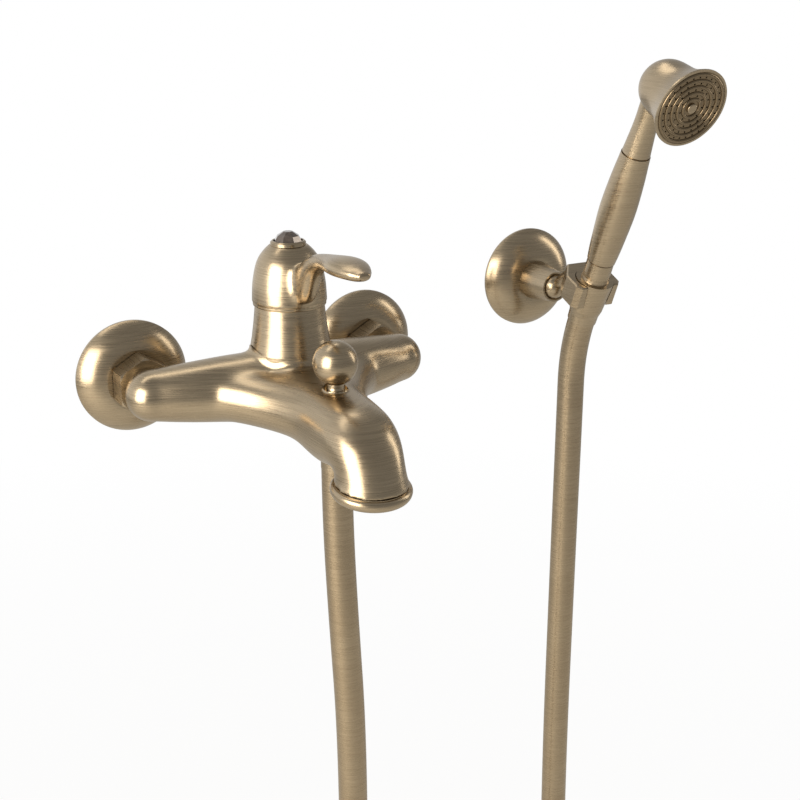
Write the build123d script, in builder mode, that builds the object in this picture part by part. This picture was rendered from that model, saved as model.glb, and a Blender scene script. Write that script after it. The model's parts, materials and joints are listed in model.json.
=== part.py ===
from build123d import *
from math import cos, degrees, pi, radians, sin, sqrt, tan
import os

os.makedirs("parts", exist_ok=True)

# Frame: the wall is the plane Y = 0 and the mixer stands out of it towards -Y.
# The origin is midway between the two water inlets. Lengths are millimetres.

# Fits and cutting overrun
running_gap = 0.05
slip_gap = 0.3
overrun = 1.0

# Inlets and wall flanges, depths from the wall
inlet_spacing = 150.0
wall_thread_r = 10.48
wall_thread_length = 14.0
union_bore_r = 7.0
union_collar_r = 11.8
union_collar_start = 1.5
union_collar_end = 9.0
union_thread_r = 13.2
union_end = 20.6
flange_r = 33.0
flange_rim = 1.6
flange_depth = 12.4
flange_front_r = 18.0
flange_wall = 1.8
inlet_washer_thickness = 1.8
nut_across_flats = 30.0
nut_start = 13.0
nut_end = 28.0
nut_chamfer = 1.4
nipple_flange_r = 12.7
nipple_flange_thickness = 2.4
nipple_r = 9.4

# Body casting: the arms
column_reach = 59.6
arm_reach = 77.6
arm_sweep = 16.8
arm_mid_r = 20.7
arm_end_r = 14.5
arm_station_shares = (-1.0, -0.86, -0.6, -0.3, 0.0, 0.3, 0.6, 0.86, 1.0)
arm_rise = 0.9
arm_bore_r = 7.0
arm_bore_end_share = 0.07

# Body casting: the spout, from the column's axis to its mouth
spout_throw = 98.0
mouth_drop = 27.0
mouth_tilt = 7.0
mouth_r = 20.3
spout_half_width = 23.5
# Each station: how far forward and how high its upper and then its lower point
# lie, its half width and how square it is.
spout_station_shares = (
    (-0.078, 0.704, -0.078, -0.704, 0.851, 2.0),
    (0.208, 0.648, 0.188, -0.759, 1.000, 2.3),
    (0.412, 0.548, 0.382, -0.833, 0.957, 2.5),
    (0.606, 0.459, 0.565, -0.926, 0.928, 2.5),
    (0.839, 0.370, 0.718, -0.963, 0.894, 2.45),
    (1.004, 0.130, 0.785, -0.907, 0.851, 2.3),
    (1.142, -0.463, 0.805, -0.889, 0.796, 2.05),
)
crotch_start_share = 0.62
crotch_mid_share = 0.18
crotch_end_share = 0.50
crotch_r = 15.2
crotch_drop = 4.0
crotch_tail = 12.0
channel_r = 5.5
channel_z = -3.5
outlet_throat_depth = 20.0
outlet_step_depth = 9.0
outlet_step_r = 12.9

# Column and cartridge
boss_r = 24.2
column_seat_z = 16.8
column_top_z = 47.4
column_foot_r = 23.1
column_foot_z = 21.4
column_low_r = 21.7
column_low_z = 28.7
column_waist_r = 20.5
column_waist_z = 37.5
column_top_r = 19.5
column_bore_r = 17.6
column_floor = 3.2
spigot_r = 15.0
spigot_depth = 7.0
port_r = 3.2
port_offset = 7.5
gasket_height = 1.4
cartridge_height = 20.0
cartridge_neck_height = 3.6
cartridge_neck_wall = 1.2
cartridge_chamber_r = 14.4
cartridge_wall = 2.4
disc_r = 14.0
disc_thickness = 3.0
moving_disc_r = 10.4
moving_disc_thickness = 4.0
pocket_depth = 2.4
disc_travel = 3.5
guide_r = 14.1
guide_height = 7.0
guide_neck_r = 9.8
guide_neck_top_z = 44.6
slot_half_length = 6.0
clamp_nut_thickness = 3.6
stem_half = 3.3
stem_low_z = 33.0
stem_top_z = 66.0
stem_tip_r = 2.4
stem_tip_z = 28.9
pivot_z = 40.0
pivot_r = 1.5

# Lever cap: (radius, height) points of the bell, outside then inside
cap_bottom_z = 46.8
cap_outer = (
    (21.0, 49.2),
    (20.9, 51.5),
    (20.45, 59.0),
    (19.3, 66.0),
    (17.0, 73.0),
    (14.9, 76.2),
    (10.6, 80.6),
)
cap_inner = (
    (19.8, 46.8),
    (19.8, 50.6),
    (19.4, 52.5),
    (18.8, 59.0),
    (17.5, 66.0),
    (14.8, 72.4),
    (9.6, 77.0),
)
# Rolled bead of the cap's lip, from its groove down
cap_lip = ((20.3, 46.8), (20.6, 47.3), (20.65, 47.9), (20.5, 48.6), (20.2, 49.0), (20.2, 49.2))
socket_boss_r = 7.4
socket_boss_z = 57.0
bezel_r = 9.9
bezel_height = 2.4
bezel_seat = 0.8
bezel_stub_r = 4.0
bezel_stub_length = 3.0
crystal_r = 8.2
crystal_girdle = 1.2
crystal_crown_r = 6.4
crystal_crown_height = 4.2
crystal_height = 6.6
crystal_table_r = 2.6
crystal_sides = 8

# Lever stations: forward and up from the cap's lip, slope in degrees, half
# width and half thickness
lever_reach = 93.0
lever_rise = 35.2
lever_half_width = 10.0
lever_stations = (
    (0.176, 0.432, 30.0, 0.65, 1.20),
    (0.305, 0.659, 36.0, 0.60, 0.80),
    (0.413, 0.872, 26.0, 0.55, 0.50),
    (0.542, 0.952, 8.0, 0.63, 0.43),
    (0.714, 0.994, 2.0, 1.00, 0.50),
    (0.886, 0.990, -3.0, 0.86, 0.42),
    (1.000, 0.975, -8.0, 0.36, 0.22),
)

# Diverter, at a share of the spout's throw
diverter_share = 0.5837
diverter_y = column_reach + spout_throw * diverter_share
knob_ball_z = 27.4
knob_ball_r = 12.2
knob_neck_r = 4.5
knob_foot_r = 4.9
knob_foot_height = 2.0
bush_top_z = 12.2
bush_r = 6.6
bush_length = 9.0
rod_r = 2.5
rod_top_z = 22.0
plunger_r = 7.8
plunger_thickness = 3.6
plunger_washer = 1.6
valve_chamber_r = 8.4
valve_seat_z = -14.0
valve_seat = 1.6
seat_bore_r = 4.6
diverter_travel = 9.0

# Hose
hose_r = 8.5
hose_nipple_r = 9.0
hose_nipple_bottom_z = -25.4
hose_ferrule_r = 8.7
hose_ferrule_length = 6.0
hose_sway = 0.7
# The route between its ends: along the wall, out from it, below the inlets
hose_left_route = (
    (0.0, diverter_y, 58.0),
    (1.8, diverter_y + hose_sway, 112.0),
    (7.6, diverter_y + hose_sway, 211.0),
    (8.0, 114.0, 388.0),
    (4.0, 105.0, 534.2),
)
hose_low_point = (100.0, 84.0, 589.6)
hose_right_route = (
    (196.0, 64.0, 534.2),
    (196.6, 55.4, 325.0),
    (197.8, 54.9, 147.0),
    (198.15, 55.3, 54.6),
)
hose_last_run = 23.0
fillet_share = 0.45

# Ring round the spout's mouth and the aerator
ring_r = 21.7
ring_height = 7.0
ring_neck_r = 19.6
ring_groove = 0.7
ring_spigot_r = 15.4
ring_spigot = 4.0
ring_bore_r = 12.7
ring_mouth_r = 15.0
ring_mouth_depth = 3.0
aerator_wall = 1.4
aerator_ledge = 1.2
aerator_length = 10.0
aerator_flange = 1.4
screen_thickness = 1.2
screen_hole_r = 1.2
screen_pitch = 3.7
screen_rows = 5

# Wall holder, depths from the wall
holder_x = 198.15
holder_z = 28.0
holder_flange_r = 32.0
holder_flange_rim = 1.6
holder_flange_depth = 12.5
holder_flange_front_r = 14.0
holder_flange_wall = 1.6
collar_base_r = 12.5
collar_end_r = 9.7
collar_end = 35.0
collar_lead = 1.0
ball_r = 8.0
ball_depth = 32.5
ball_gap = 0.06
bracket_r = 24.0
bracket_thickness = 2.6
bracket_boss_r = 8.7
bracket_boss_length = 22.0
wall_hole_r = 2.5
wall_hole_spacing = 32.0
seat_length = 7.0
fork_stem_r = 3.2
fork_stem_root_r = 5.0

# Hand shower: t runs along its axis from the lower groove towards the head
handset_lean = 22.66
groove_y = 81.4
groove_z = 54.4
fork_top_t = -14.0
fork_bottom_t = -30.0
# Half of the fork's plan, across and back from its axis
fork_plan = ((13.2, -7.4), (16.0, -4.0), (16.0, 7.5), (8.2, 19.2))
fork_hole_top_r = 12.3
fork_hole_bottom_r = 11.1
fork_chamfer = 0.8
cone_top_t = -13.2
cone_end_t = -44.0
cone_outer = (
    (11.95, -13.2),
    (10.4, -34.0),
    (9.3, -38.5),
    (9.1, -44.0),
)
cone_thread_r = 7.0
cone_thread_end_t = -26.0
cone_tail_r = 4.6
cone_washer_thickness = 1.8
groove_width = 0.8
groove_r = 7.4
spigot_bore_r = 4.0
spigot_top_r = 6.0
ferrule_outer = ((8.9, -13.2), (8.45, -11.0), (8.3, 0.0))
ferrule_spigot_t = 9.0
grip_end_t = 74.1
grip_outer = (
    (8.7, 0.8),
    (9.6, 10.0),
    (10.3, 21.0),
    (10.95, 36.0),
    (10.5, 51.0),
    (9.8, 62.0),
    (9.1, 70.0),
    (8.8, 74.1),
)
neck_start_t = 74.9
neck_outer = ((8.4, 74.9), (7.7, 83.0), (7.0, 92.0), (6.8, 101.0))
neck_spigot_t = 66.0
neck_tail_r = 5.6
neck_tail = 5.0
tube_r = 5.0
tube_bore_r = 3.8
tube_start_t = -10.0
face_y = 156.0
face_z = 153.3
# (radius, depth behind the spray face) points of the head, outside then inside
head_outer = (
    (23.1, 0.8),
    (21.6, 3.6),
    (19.4, 8.0),
    (17.5, 14.0),
    (16.6, 21.0),
    (15.0, 28.5),
    (10.8, 34.6),
    (4.8, 37.6),
)
head_depth = 38.0
head_rim_r = 23.1
head_mouth_r = 21.8
head_inner = ((19.6, 2.0), (16.0, 11.0), (14.6, 21.0), (11.0, 30.0), (5.0, 34.6))
head_boss_r = 6.8
socket_lip = 1.0
post_r = 3.4
plate_thickness = 1.2
plate_seat = 1.4
seal_thickness = 0.6
ridge_shares = (0.25, 0.42, 0.59, 0.76, 0.93)
ridge_r = 1.0
ridge_sink = 0.1
spray_hole_r = 0.55
spray_hole_rows = ((0.335, 9), (0.505, 15), (0.675, 21), (0.845, 27))
button_r = 3.0
button_height = 1.4
button_shank_r = 1.8
button_shank_end = 10.0
lift_travel = 45.0

half_spacing = inlet_spacing / 2
column_axis = Axis((0, -column_reach, 0), (0, 0, 1))
centre_line = Plane((0, -column_reach, 0))


def lathe_plane(origin, along, radial):
    """Sketch plane with X as the radius and Y along a turning axis."""
    return Plane(origin=origin, x_dir=radial, z_dir=Vector(*radial).cross(Vector(*along)))


def outline(plane, points):
    """Closed straight-sided outline of (radius, height) points."""
    with BuildSketch(plane) as face:
        with BuildLine():
            Polyline(*points, close=True)
        make_face()
    return face.sketch


def curved_outline(plane, curve, rest):
    """Outline with one smooth curve, closed by straight lines through rest."""
    with BuildSketch(plane) as face:
        with BuildLine():
            Spline(*curve)
            Polyline(curve[-1], *rest, curve[0])
        make_face()
    return face.sketch


def box_outline(plane, low_r, high_r, low, high):
    """Rectangle between two radii and two heights."""
    return outline(plane, ((low_r, low), (high_r, low), (high_r, high), (low_r, high)))


def oval_face(plane, half_x, half_y, power=2.0, count=16):
    """Closed smooth outline, an ellipse for power 2 and squarer above it."""
    points = []
    for step in range(count):
        angle = 2 * pi * step / count
        c, s = cos(angle), sin(angle)
        reach_x = abs(c) ** (2 / power) * (1 if c > 0 else -1)
        reach_y = abs(s) ** (2 / power) * (1 if s > 0 else -1)
        points.append((half_x * reach_x, half_y * reach_y))
    with BuildSketch(plane) as face:
        with BuildLine():
            Spline(*points, periodic=True)
        make_face()
    return face.sketch


up_plane = lathe_plane((0, -column_reach, 0), (0, 0, 1), (1, 0, 0))
knob_plane = lathe_plane((0, -diverter_y, 0), (0, 0, 1), (1, 0, 0))
knob_axis = Axis((0, -diverter_y, 0), (0, 0, 1))
out_dir = Vector(0, -1, 0)

# Hand shower frame: Z along its axis, X along the wall
lean = radians(handset_lean)
handset_dir = Vector(0, -sin(lean), cos(lean))
handset_origin = Vector(holder_x, -groove_y, groove_z)
handset_axis = Axis(handset_origin, handset_dir)
handset_plane = lathe_plane(handset_origin, handset_dir, (1, 0, 0))
handset_base = Plane(origin=handset_origin, x_dir=(1, 0, 0), z_dir=handset_dir)
face_back = Vector(0, cos(lean), sin(lean))
face_origin = Vector(holder_x, -face_y, face_z)
face_axis = Axis(face_origin, face_back)
face_plane = lathe_plane(face_origin, face_back, (1, 0, 0))
face_base = Plane(origin=face_origin, x_dir=(1, 0, 0), z_dir=face_back)

# Mouth frame: Z points out of the spout's mouth, down and slightly back
tilt = radians(mouth_tilt)
mouth_dir = Vector(0, sin(tilt), -cos(tilt))
mouth_origin = Vector(0, -column_reach - spout_throw, -mouth_drop)
mouth_axis = Axis(mouth_origin, mouth_dir)
mouth_plane = lathe_plane(mouth_origin, mouth_dir, (1, 0, 0))
mouth_base = Plane(origin=mouth_origin, x_dir=(1, 0, 0), z_dir=mouth_dir)

# Heights of the cartridge's layers
column_floor_z = column_seat_z + column_floor
housing_z = column_floor_z + gasket_height
housing_top_z = housing_z + cartridge_height
chamber_z = housing_z + cartridge_wall
fixed_top_z = chamber_z + disc_thickness
moving_top_z = fixed_top_z + moving_disc_thickness
guide_z = moving_top_z + slip_gap
guide_top_z = guide_z + guide_height
chamber_top_z = guide_top_z + slip_gap
neck_bore_r = guide_neck_r + running_gap
neck_outer_r = neck_bore_r + cartridge_neck_wall
clamp_top_z = housing_top_z + clamp_nut_thickness


def arm_point(share):
    """Centre of the arms at a share of their reach, -1 at the left end."""
    rise = arm_rise * (1 - abs(share) ** 1.5)
    return Vector(arm_reach * share, -column_reach + arm_sweep * abs(share) ** 1.3, rise)


def arm_radius(share):
    return arm_end_r + (arm_mid_r - arm_end_r) * (1 - abs(share) ** 1.7)


nipple_start = union_end + inlet_washer_thickness
nipple_shoulder = nipple_start + nipple_flange_thickness
valve_floor_z = valve_seat_z - valve_seat
hose_start_z = hose_nipple_bottom_z - hose_ferrule_length

with BuildPart() as mixer_body:
    for share in arm_station_shares:
        ahead = arm_point(min(share + 0.02, 1.0)) - arm_point(max(share - 0.02, -1.0))
        with BuildSketch(Plane(origin=arm_point(share), x_dir=(0, 0, 1), z_dir=ahead)):
            Circle(arm_radius(share))
    loft()
    # Spout
    for forward, high, under, low, width, power in spout_station_shares:
        top = Vector(0, -column_reach - spout_throw * forward, mouth_drop * high)
        bottom = Vector(0, -column_reach - spout_throw * under, mouth_drop * low)
        across = top - bottom
        middle = (top + bottom) * 0.5
        station = Plane(origin=middle, x_dir=(1, 0, 0), z_dir=Vector(1, 0, 0).cross(across))
        add(oval_face(station, spout_half_width * width, across.length / 2, power))
    add(oval_face(mouth_base, mouth_r, mouth_r))
    loft()
    for side in (-1, 1):
        # Rounded end of the arm
        end_point = arm_point(side)
        end_dir = (end_point - arm_point(side * 0.98)).normalized()
        with BuildSketch(lathe_plane(end_point, end_dir, (0, 0, 1))):
            with BuildLine():
                CenterArc((0, 0), arm_end_r, 0, 90)
                Polyline((0, arm_end_r), (0, 0), (arm_end_r, 0))
            make_face()
        revolve(axis=Axis(end_point, end_dir))
        # Inlet nipple on the arm's back
        nipple_face = Plane((side * half_spacing, -nipple_start, 0), z_dir=out_dir)
        with BuildSketch(nipple_face):
            Circle(nipple_flange_r)
        extrude(amount=nipple_flange_thickness)
        with BuildSketch(nipple_face):
            Circle(nipple_r)
        extrude(amount=column_reach - arm_sweep - nipple_start)
        # Rounded crotch between the arm and the spout
        crotch_from = arm_point(side * crotch_start_share)
        crotch_to = Vector(
            side * (spout_half_width - crotch_r),
            -column_reach - spout_throw * crotch_end_share,
            -crotch_drop,
        )
        crotch_mid = Vector(
            side * spout_half_width,
            -column_reach - spout_throw * crotch_mid_share,
            -crotch_drop / 2,
        )
        with BuildLine() as crotch_path:
            crotch_arc = ThreePointArc(crotch_from, crotch_mid, crotch_to)
            Line(crotch_to, crotch_to + (crotch_arc % 1) * crotch_tail)
        with BuildSketch(Plane(crotch_arc ^ 0)):
            Circle(crotch_r)
        sweep(path=crotch_path.line)
    # Boss under the column
    with BuildSketch(centre_line) as boss_foot:
        Circle(boss_r)
    with BuildSketch(centre_line.offset(column_seat_z)):
        Circle(column_foot_r)
    loft()
    # Column seat cut flat, with a chamber under it
    with BuildSketch(centre_line.offset(column_seat_z)):
        Circle(column_foot_r + running_gap)
    extrude(amount=arm_mid_r, mode=Mode.SUBTRACT)
    with BuildSketch(centre_line.offset(column_seat_z)):
        Circle(spigot_r + running_gap)
    extrude(amount=-spigot_depth, mode=Mode.SUBTRACT)
    for side in (-1, 1):
        inlet_face = Plane((side * half_spacing, -nipple_start, 0), z_dir=out_dir)
        with BuildSketch(inlet_face):
            Circle(union_bore_r)
        extrude(amount=column_reach - arm_sweep - nipple_start, mode=Mode.SUBTRACT)
        far_point = arm_point(side * half_spacing / arm_reach)
        near_point = arm_point(side * arm_bore_end_share)
        with BuildSketch(Plane(origin=far_point, z_dir=near_point - far_point)):
            Circle(arm_bore_r)
        extrude(amount=(near_point - far_point).length, mode=Mode.SUBTRACT)
        with BuildSketch(Plane((side * port_offset, -column_reach, column_seat_z))):
            Circle(port_r)
        extrude(amount=-column_seat_z, mode=Mode.SUBTRACT)
    # Mixed water port and channel along the spout
    with BuildSketch(Plane((0, -column_reach - port_offset, column_seat_z))):
        Circle(port_r)
    extrude(amount=-column_seat_z + channel_z, mode=Mode.SUBTRACT)
    with BuildSketch(Plane((0, -column_reach, channel_z), z_dir=out_dir)):
        Circle(channel_r)
    extrude(amount=spout_throw - channel_r, mode=Mode.SUBTRACT)
    # Mouth
    add(
        outline(
            mouth_plane,
            (
                (0, overrun),
                (ring_spigot_r + running_gap, overrun),
                (ring_spigot_r + running_gap, -ring_spigot),
                (outlet_step_r, -ring_spigot),
                (outlet_step_r, -outlet_step_depth),
                (channel_r, -outlet_throat_depth),
                (0, -outlet_throat_depth),
            ),
        )
    )
    revolve(axis=mouth_axis, mode=Mode.SUBTRACT)
    # Diverter bores
    add(
        outline(
            knob_plane,
            (
                (0, knob_ball_z),
                (bush_r + running_gap, knob_ball_z),
                (bush_r + running_gap, bush_top_z - bush_length),
                (valve_chamber_r, bush_top_z - bush_length),
                (valve_chamber_r, valve_seat_z),
                (seat_bore_r, valve_seat_z),
                (seat_bore_r, valve_floor_z),
                (hose_nipple_r + running_gap, valve_floor_z),
                (hose_nipple_r + running_gap, hose_start_z),
                (0, hose_start_z),
            ),
        )
    )
    revolve(axis=knob_axis, mode=Mode.SUBTRACT)
mixer_body.part.label = "mixer_body"

with BuildPart() as column:
    add(
        outline(
            up_plane,
            (
                (0, column_seat_z - spigot_depth),
                (spigot_r, column_seat_z - spigot_depth),
                (spigot_r, column_seat_z),
                (column_foot_r, column_seat_z),
                (column_foot_r, column_foot_z),
                (column_low_r, column_low_z),
                (column_waist_r, column_waist_z),
                (column_top_r, column_top_z),
                (column_bore_r, column_top_z),
                (column_bore_r, column_floor_z),
                (0, column_floor_z),
            ),
        )
    )
    revolve(axis=column_axis)
    with BuildSketch(centre_line.offset(column_seat_z - spigot_depth)):
        with Locations((-port_offset, 0), (port_offset, 0), (0, -port_offset)):
            Circle(port_r)
    extrude(amount=spigot_depth + column_floor, mode=Mode.SUBTRACT)
column.part.label = "column"

with BuildPart() as cartridge_gasket:
    with BuildSketch(centre_line.offset(column_floor_z)):
        Circle(column_bore_r - slip_gap)
        with Locations((-port_offset, 0), (port_offset, 0), (0, -port_offset)):
            Circle(port_r, mode=Mode.SUBTRACT)
    extrude(amount=gasket_height)
cartridge_gasket.part.label = "cartridge_gasket"

with BuildPart() as cartridge_housing:
    add(
        outline(
            up_plane,
            (
                (0, housing_z),
                (column_bore_r - running_gap, housing_z),
                (column_bore_r - running_gap, housing_top_z),
                (neck_outer_r, housing_top_z),
                (neck_outer_r, housing_top_z + cartridge_neck_height),
                (neck_bore_r, housing_top_z + cartridge_neck_height),
                (neck_bore_r, chamber_top_z),
                (cartridge_chamber_r, chamber_top_z),
                (cartridge_chamber_r, chamber_z),
                (0, chamber_z),
            ),
        )
    )
    revolve(axis=column_axis)
    with BuildSketch(centre_line.offset(housing_z)):
        with Locations((-port_offset, 0), (port_offset, 0), (0, -port_offset)):
            Circle(port_r)
    extrude(amount=cartridge_wall, mode=Mode.SUBTRACT)
cartridge_housing.part.label = "cartridge_housing"

with BuildPart() as fixed_disc:
    with BuildSketch(centre_line.offset(chamber_z)):
        Circle(disc_r)
        with Locations((-port_offset, 0), (port_offset, 0), (0, -port_offset)):
            Circle(port_r, mode=Mode.SUBTRACT)
    extrude(amount=disc_thickness)
fixed_disc.part.label = "fixed_disc"

with BuildPart() as moving_disc:
    with BuildSketch(centre_line.offset(fixed_top_z)):
        Circle(moving_disc_r)
    extrude(amount=moving_disc_thickness)
    # Pocket for the stem's tip above, mixing hollow below
    with BuildSketch(centre_line.offset(moving_top_z)):
        Circle(port_r)
    extrude(amount=-pocket_depth, mode=Mode.SUBTRACT)
    with BuildSketch(centre_line.offset(fixed_top_z)):
        with Locations((0, -moving_disc_r / 2)):
            Circle(port_r)
    extrude(amount=pocket_depth / 2, mode=Mode.SUBTRACT)
moving_disc.part.label = "moving_disc"

with BuildPart() as cartridge_guide:
    with BuildSketch(centre_line.offset(guide_z)):
        Circle(guide_r)
    extrude(amount=guide_height)
    with BuildSketch(centre_line.offset(guide_top_z)):
        Circle(guide_neck_r)
    extrude(amount=guide_neck_top_z - guide_top_z)
    with BuildSketch(centre_line.offset(guide_z)):
        Rectangle(2 * (stem_half + slip_gap), 2 * slot_half_length)
    extrude(amount=guide_neck_top_z - guide_z, mode=Mode.SUBTRACT)
    with BuildSketch(Plane((-guide_neck_r, -column_reach, pivot_z), z_dir=(1, 0, 0))):
        Circle(pivot_r)
    extrude(amount=2 * guide_neck_r, mode=Mode.SUBTRACT)
cartridge_guide.part.label = "cartridge_guide"

with BuildPart() as pivot_pin:
    pin_half = guide_neck_r - 2 * slip_gap
    with BuildSketch(Plane((-pin_half, -column_reach, pivot_z), z_dir=(1, 0, 0))):
        Circle(pivot_r)
    extrude(amount=2 * pin_half)
pivot_pin.part.label = "pivot_pin"

with BuildPart() as clamp_nut:
    with BuildSketch(centre_line.offset(housing_top_z)):
        Circle(column_bore_r - running_gap)
        Circle(neck_outer_r + running_gap, mode=Mode.SUBTRACT)
    extrude(amount=clamp_nut_thickness)
clamp_nut.part.label = "clamp_nut"

with BuildPart() as lever_stem:
    with BuildSketch(centre_line.offset(stem_tip_z)):
        Circle(stem_tip_r)
    extrude(amount=stem_low_z - stem_tip_z)
    with BuildSketch(centre_line.offset(stem_low_z)):
        Rectangle(2 * stem_half, 2 * stem_half)
    extrude(amount=stem_top_z - stem_low_z)
    with BuildSketch(Plane((-stem_half - overrun, -column_reach, pivot_z), z_dir=(1, 0, 0))):
        Circle(pivot_r + running_gap)
    extrude(amount=2 * (stem_half + overrun), mode=Mode.SUBTRACT)
lever_stem.part.label = "lever_stem"

with BuildPart() as lever_cap:
    cap_top_r, cap_top_z = cap_outer[-1]
    inner_top_r, inner_top_z = cap_inner[-1]
    add(curved_outline(up_plane, cap_outer, ((0, cap_top_z), (0, cap_bottom_z), *cap_lip)))
    revolve(axis=column_axis)
    # Lever blade
    for forward, up, slope, width, thick in lever_stations:
        angle = radians(slope)
        heading = Vector(0, -cos(angle), sin(angle))
        middle = Vector(0, -column_reach - lever_reach * forward, cap_bottom_z + lever_rise * up)
        blade_plane = Plane(origin=middle, x_dir=(1, 0, 0), z_dir=heading)
        add(oval_face(blade_plane, lever_half_width * width, lever_half_width * thick, 2.2))
    loft()
    add(curved_outline(up_plane, cap_inner[1:], ((0, inner_top_z), (0, cap_bottom_z), cap_inner[0])))
    revolve(axis=column_axis, mode=Mode.SUBTRACT)
    with BuildSketch(centre_line.offset(socket_boss_z)):
        Circle(socket_boss_r)
    extrude(amount=cap_top_z - socket_boss_z - overrun)
    with BuildSketch(centre_line.offset(socket_boss_z)):
        Rectangle(2 * (stem_half + running_gap), 2 * (stem_half + running_gap))
    extrude(amount=stem_top_z - socket_boss_z, mode=Mode.SUBTRACT)
    with BuildSketch(centre_line.offset(cap_top_z)):
        Circle(bezel_stub_r + running_gap)
    extrude(amount=-bezel_stub_length - slip_gap, mode=Mode.SUBTRACT)
lever_cap.part.label = "lever_cap"

bezel_top_z = cap_top_z + bezel_height
crystal_z = cap_top_z + bezel_seat
with BuildPart() as finial_bezel:
    add(
        outline(
            up_plane,
            (
                (0, cap_top_z - bezel_stub_length),
                (bezel_stub_r, cap_top_z - bezel_stub_length),
                (bezel_stub_r, cap_top_z),
                (bezel_r, cap_top_z),
                (bezel_r, bezel_top_z - bezel_seat),
                (crystal_r + bezel_seat, bezel_top_z),
                (crystal_r + running_gap, bezel_top_z),
                (crystal_r + running_gap, crystal_z),
                (0, crystal_z),
            ),
        )
    )
    revolve(axis=column_axis)
finial_bezel.part.label = "finial_bezel"

with BuildPart() as crystal_finial:
    with BuildSketch(centre_line.offset(crystal_z)):
        RegularPolygon(crystal_r, crystal_sides)
    extrude(amount=crystal_girdle)
    # Lower and upper rows of facets
    with BuildSketch(centre_line.offset(crystal_z + crystal_girdle)):
        RegularPolygon(crystal_r, crystal_sides)
    with BuildSketch(centre_line.offset(crystal_z + crystal_crown_height)):
        RegularPolygon(crystal_crown_r, crystal_sides)
    loft()
    with BuildSketch(centre_line.offset(crystal_z + crystal_crown_height)):
        RegularPolygon(crystal_crown_r, crystal_sides)
    with BuildSketch(centre_line.offset(crystal_z + crystal_height)):
        RegularPolygon(crystal_table_r, crystal_sides)
    loft()
crystal_finial.part.label = "crystal_finial"

with BuildPart() as diverter_knob:
    with BuildSketch(Plane((0, -diverter_y, bush_top_z))):
        Circle(knob_foot_r)
    with BuildSketch(Plane((0, -diverter_y, bush_top_z + knob_foot_height))):
        Circle(knob_neck_r)
    loft()
    with BuildSketch(Plane((0, -diverter_y, bush_top_z + knob_foot_height))):
        Circle(knob_neck_r)
    extrude(amount=knob_ball_z - bush_top_z - knob_foot_height)
    with Locations((0, -diverter_y, knob_ball_z)):
        Sphere(knob_ball_r)
    with BuildSketch(Plane((0, -diverter_y, bush_top_z))):
        Circle(rod_r)
    extrude(amount=rod_top_z - bush_top_z, mode=Mode.SUBTRACT)
diverter_knob.part.label = "diverter_knob"

plunger_top_z = valve_seat_z + plunger_washer + plunger_thickness
with BuildPart() as diverter_rod:
    with BuildSketch(Plane((0, -diverter_y, valve_seat_z))):
        Circle(rod_r)
    extrude(amount=rod_top_z - valve_seat_z)
    with BuildSketch(Plane((0, -diverter_y, valve_seat_z + plunger_washer))):
        Circle(plunger_r)
    extrude(amount=plunger_thickness)
diverter_rod.part.label = "diverter_rod"

with BuildPart() as diverter_washer:
    with BuildSketch(Plane((0, -diverter_y, valve_seat_z))):
        Circle(plunger_r)
        Circle(rod_r, mode=Mode.SUBTRACT)
    extrude(amount=plunger_washer)
diverter_washer.part.label = "diverter_washer"

with BuildPart() as diverter_bush:
    with BuildSketch(Plane((0, -diverter_y, bush_top_z))):
        Circle(bush_r)
        Circle(rod_r + running_gap, mode=Mode.SUBTRACT)
    extrude(amount=-bush_length)
diverter_bush.part.label = "diverter_bush"

with BuildPart() as hose_nipple:
    with BuildSketch(Plane((0, -diverter_y, valve_floor_z))):
        Circle(hose_nipple_r)
        Circle(seat_bore_r, mode=Mode.SUBTRACT)
    extrude(amount=hose_nipple_bottom_z - valve_floor_z)
hose_nipple.part.label = "hose_nipple"

with BuildPart() as hose_ferrule:
    with BuildSketch(Plane((0, -diverter_y, hose_nipple_bottom_z))):
        Circle(hose_ferrule_r)
        Circle(seat_bore_r, mode=Mode.SUBTRACT)
    extrude(amount=-hose_ferrule_length)
hose_ferrule.part.label = "hose_ferrule"

with BuildPart() as outlet_ring:
    add(
        curved_outline(
            mouth_plane,
            (
                (mouth_r, ring_groove),
                (ring_r - ring_height * 0.05, ring_height * 0.25),
                (ring_r, ring_height * 0.45),
                (ring_r - ring_height * 0.12, ring_height * 0.82),
                (mouth_r - ring_height * 0.3, ring_height),
            ),
            (
                (ring_mouth_r, ring_height),
                (ring_mouth_r, ring_height - ring_mouth_depth),
                (ring_bore_r, ring_height - ring_mouth_depth),
                (ring_bore_r, -ring_spigot),
                (ring_spigot_r, -ring_spigot),
                (ring_spigot_r, 0),
                (ring_neck_r, 0),
                (ring_neck_r, ring_groove),
            ),
        )
    )
    revolve(axis=mouth_axis)
outlet_ring.part.label = "outlet_ring"

aerator_seat = ring_height - ring_mouth_depth
aerator_r = ring_bore_r - running_gap
screen_r = aerator_r - aerator_wall
with BuildPart() as aerator_body:
    add(
        outline(
            mouth_plane,
            (
                (aerator_r, aerator_seat - aerator_length),
                (aerator_r, aerator_seat),
                (ring_mouth_r - running_gap, aerator_seat),
                (ring_mouth_r - running_gap, aerator_seat + aerator_flange),
                (screen_r + running_gap, aerator_seat + aerator_flange),
                (screen_r + running_gap, aerator_seat + aerator_flange - screen_thickness),
                (screen_r - aerator_ledge, aerator_seat + aerator_flange - screen_thickness),
                (screen_r - aerator_ledge, aerator_seat - aerator_length),
            ),
        )
    )
    revolve(axis=mouth_axis)
aerator_body.part.label = "aerator_body"

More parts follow.
